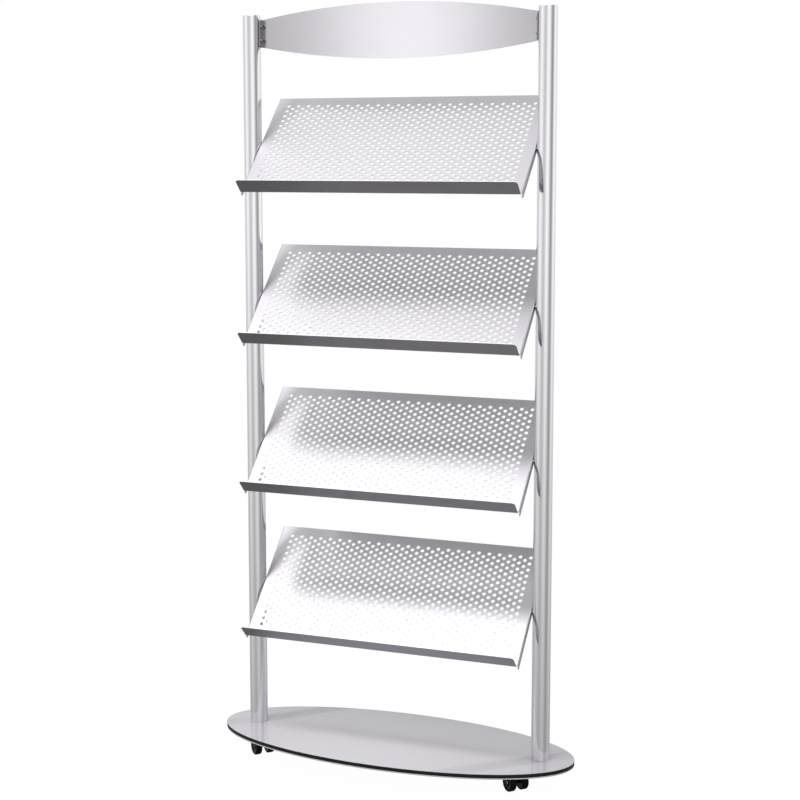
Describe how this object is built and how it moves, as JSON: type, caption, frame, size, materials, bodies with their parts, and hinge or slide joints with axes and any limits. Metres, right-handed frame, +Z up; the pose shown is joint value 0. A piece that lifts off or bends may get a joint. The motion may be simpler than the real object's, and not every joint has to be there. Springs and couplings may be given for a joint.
{
  "type": "periodical display rack",
  "caption": "Tall periodical display rack: round metal posts on an oval base with swivel castors carry sloped perforated shelves with front lips and a lens-shaped header.",
  "frame": {"origin": "on the floor, under the middle of the base", "axes": "+Z up along the posts, +Y towards the back of the rack, +X to the right of someone who faces its front"},
  "size_m": [0.824, 0.336, 1.6841],
  "materials": {
    "post_metal": "polished, mirror-like",
    "sheet_metal": "satin silver",
    "base_decor": "glossy silver-grey laminate",
    "base_core": "black board, satin edge",
    "base_ballast": "pale grey paint",
    "fastener_steel": "zinc plated",
    "cap_plastic": "grey, fine grain",
    "castor_plastic": "black nylon, semi-gloss",
    "tread_rubber": "black, worn satin"
  },
  "bodies": {
    "rack": {"base_top_sheet": "base_decor", "base_core": "base_core", "base_ballast_plate": "base_ballast", "post_left": "post_metal", "post_nut_bar_left": "fastener_steel", "post_plug_left": "fastener_steel", "post_washer_left": "fastener_steel", "post_bolt_left": "fastener_steel", "post_cap_left": "cap_plastic", "post_right": "post_metal", "post_nut_bar_right": "fastener_steel", "post_plug_right": "fastener_steel", "post_washer_right": "fastener_steel", "post_bolt_right": "fastener_steel", "post_cap_right": "cap_plastic", "shelf_1": "sheet_metal", "shelf_2": "sheet_metal", "shelf_3": "sheet_metal", "shelf_4": "sheet_metal", "header_panel": "sheet_metal", "shelf_1_screw_lower_left": "fastener_steel", "shelf_2_screw_lower_left": "fastener_steel", "shelf_3_screw_lower_left": "fastener_steel", "shelf_4_screw_lower_left": "fastener_steel", "header_screw_lower_left": "fastener_steel", "shelf_1_screw_upper_left": "fastener_steel", "shelf_2_screw_upper_left": "fastener_steel", "shelf_3_screw_upper_left": "fastener_steel", "shelf_4_screw_upper_left": "fastener_steel", "header_screw_upper_left": "fastener_steel", "shelf_1_screw_lower_right": "fastener_steel", "shelf_2_screw_lower_right": "fastener_steel", "shelf_3_screw_lower_right": "fastener_steel", "shelf_4_screw_lower_right": "fastener_steel", "header_screw_lower_right": "fastener_steel", "shelf_1_screw_upper_right": "fastener_steel", "shelf_2_screw_upper_right": "fastener_steel", "shelf_3_screw_upper_right": "fastener_steel", "shelf_4_screw_upper_right": "fastener_steel", "header_screw_upper_right": "fastener_steel", "castor_front_left_stem": "fastener_steel", "castor_front_right_stem": "fastener_steel", "castor_back_left_stem": "fastener_steel", "castor_back_right_stem": "fastener_steel"},
    "castor_front_left_swivel": {"castor_front_left_housing": "castor_plastic", "castor_front_left_axle": "fastener_steel"},
    "castor_front_left_left_wheel": {"castor_front_left_wheel_left": "tread_rubber"},
    "castor_front_left_right_wheel": {"castor_front_left_wheel_right": "tread_rubber"},
    "castor_front_right_swivel": {"castor_front_right_housing": "castor_plastic", "castor_front_right_axle": "fastener_steel"},
    "castor_front_right_left_wheel": {"castor_front_right_wheel_left": "tread_rubber"},
    "castor_front_right_right_wheel": {"castor_front_right_wheel_right": "tread_rubber"},
    "castor_back_left_swivel": {"castor_back_left_housing": "castor_plastic", "castor_back_left_axle": "fastener_steel"},
    "castor_back_left_left_wheel": {"castor_back_left_wheel_left": "tread_rubber"},
    "castor_back_left_right_wheel": {"castor_back_left_wheel_right": "tread_rubber"},
    "castor_back_right_swivel": {"castor_back_right_housing": "castor_plastic", "castor_back_right_axle": "fastener_steel"},
    "castor_back_right_left_wheel": {"castor_back_right_wheel_left": "tread_rubber"},
    "castor_back_right_right_wheel": {"castor_back_right_wheel_right": "tread_rubber"}
  },
  "joints": [
    {"name": "castor_front_left_turn", "type": "hinge", "parent": "rack", "child": "castor_front_left_swivel", "pos_m": [-0.303, -0.0435, 0.0446], "axis": [0, 0, 1], "continuous": true},
    {"name": "castor_front_left_left_roll", "type": "hinge", "parent": "castor_front_left_swivel", "child": "castor_front_left_left_wheel", "pos_m": [-0.32169, -0.04521, 0.02], "axis": [0.682, 0.7314, 0], "continuous": true},
    {"name": "castor_front_left_right_roll", "type": "hinge", "parent": "castor_front_left_swivel", "child": "castor_front_left_right_wheel", "pos_m": [-0.30259, -0.02474, 0.02], "axis": [0.682, 0.7314, 0], "continuous": true},
    {"name": "castor_front_right_turn", "type": "hinge", "parent": "rack", "child": "castor_front_right_swivel", "pos_m": [0.303, -0.0435, 0.0446], "axis": [0, 0, 1], "continuous": true},
    {"name": "castor_front_right_left_roll", "type": "hinge", "parent": "castor_front_right_swivel", "child": "castor_front_right_left_wheel", "pos_m": [0.28431, -0.04521, 0.02], "axis": [0.682, 0.7314, 0], "continuous": true},
    {"name": "castor_front_right_right_roll", "type": "hinge", "parent": "castor_front_right_swivel", "child": "castor_front_right_right_wheel", "pos_m": [0.30341, -0.02474, 0.02], "axis": [0.682, 0.7314, 0], "continuous": true},
    {"name": "castor_back_left_turn", "type": "hinge", "parent": "rack", "child": "castor_back_left_swivel", "pos_m": [-0.303, 0.0435, 0.0446], "axis": [0, 0, 1], "continuous": true},
    {"name": "castor_back_left_left_roll", "type": "hinge", "parent": "castor_back_left_swivel", "child": "castor_back_left_left_wheel", "pos_m": [-0.32169, 0.04179, 0.02], "axis": [0.682, 0.7314, 0], "continuous": true},
    {"name": "castor_back_left_right_roll", "type": "hinge", "parent": "castor_back_left_swivel", "child": "castor_back_left_right_wheel", "pos_m": [-0.30259, 0.06226, 0.02], "axis": [0.682, 0.7314, 0], "continuous": true},
    {"name": "castor_back_right_turn", "type": "hinge", "parent": "rack", "child": "castor_back_right_swivel", "pos_m": [0.303, 0.0435, 0.0446], "axis": [0, 0, 1], "continuous": true},
    {"name": "castor_back_right_left_roll", "type": "hinge", "parent": "castor_back_right_swivel", "child": "castor_back_right_left_wheel", "pos_m": [0.28431, 0.04179, 0.02], "axis": [0.682, 0.7314, 0], "continuous": true},
    {"name": "castor_back_right_right_roll", "type": "hinge", "parent": "castor_back_right_swivel", "child": "castor_back_right_right_wheel", "pos_m": [0.30341, 0.06226, 0.02], "axis": [0.682, 0.7314, 0], "continuous": true}
  ]
}
